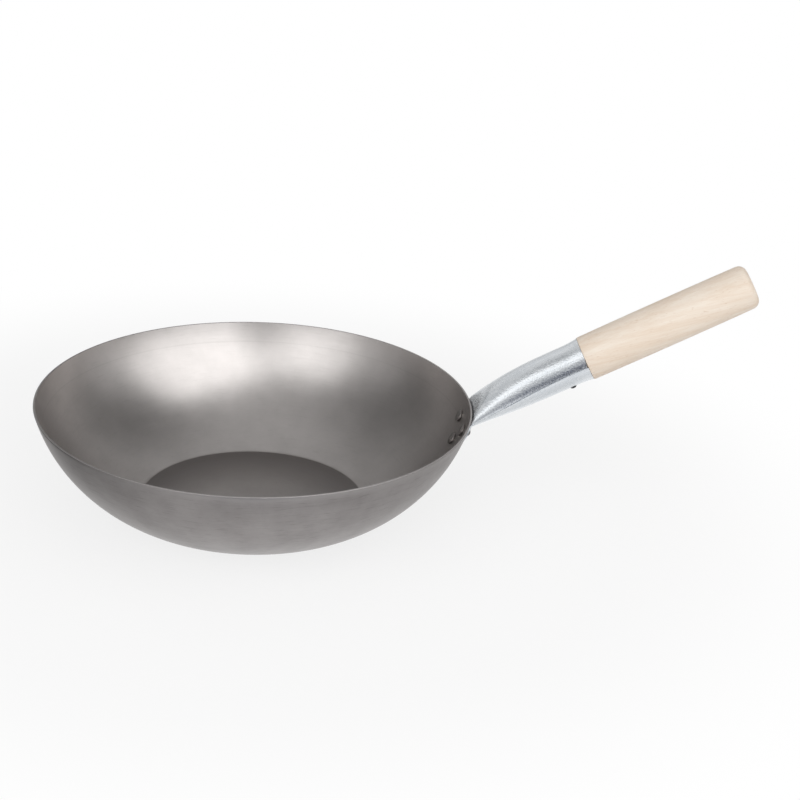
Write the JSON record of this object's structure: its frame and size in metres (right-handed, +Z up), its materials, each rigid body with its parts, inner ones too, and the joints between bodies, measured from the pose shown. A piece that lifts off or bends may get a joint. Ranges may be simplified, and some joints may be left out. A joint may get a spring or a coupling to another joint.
{
  "type": "wok",
  "caption": "Round carbon steel wok with a flat base and a flared wall, and a long handle of a riveted sheet socket and a turned wooden grip, for stir-frying on a hob.",
  "frame": {"origin": "centre of the underside of the flat base, on the surface that the wok stands on", "axes": "+Z up along the bowl's axis, +X from that axis towards the handle, +Y to the left of the handle"},
  "size_m": [0.5828, 0.356, 0.2165],
  "materials": {
    "bowl_steel": "satin bare carbon steel, pressed and lightly polished",
    "zinc_plated_steel": "bright zinc plating with a fine spangle",
    "rivet_steel": "dark bare steel, headed cold",
    "grip_wood": "pale hardwood, turned and sanded, bare",
    "screw_steel": "black oxide"
  },
  "bodies": {
    "root": {"bowl": "bowl_steel", "handle_socket": "zinc_plated_steel", "rivet_upper_left": "rivet_steel", "rivet_upper_right": "rivet_steel", "rivet_lower": "rivet_steel", "wooden_grip": "grip_wood", "grip_screw": "screw_steel"}
  },
  "joints": []
}
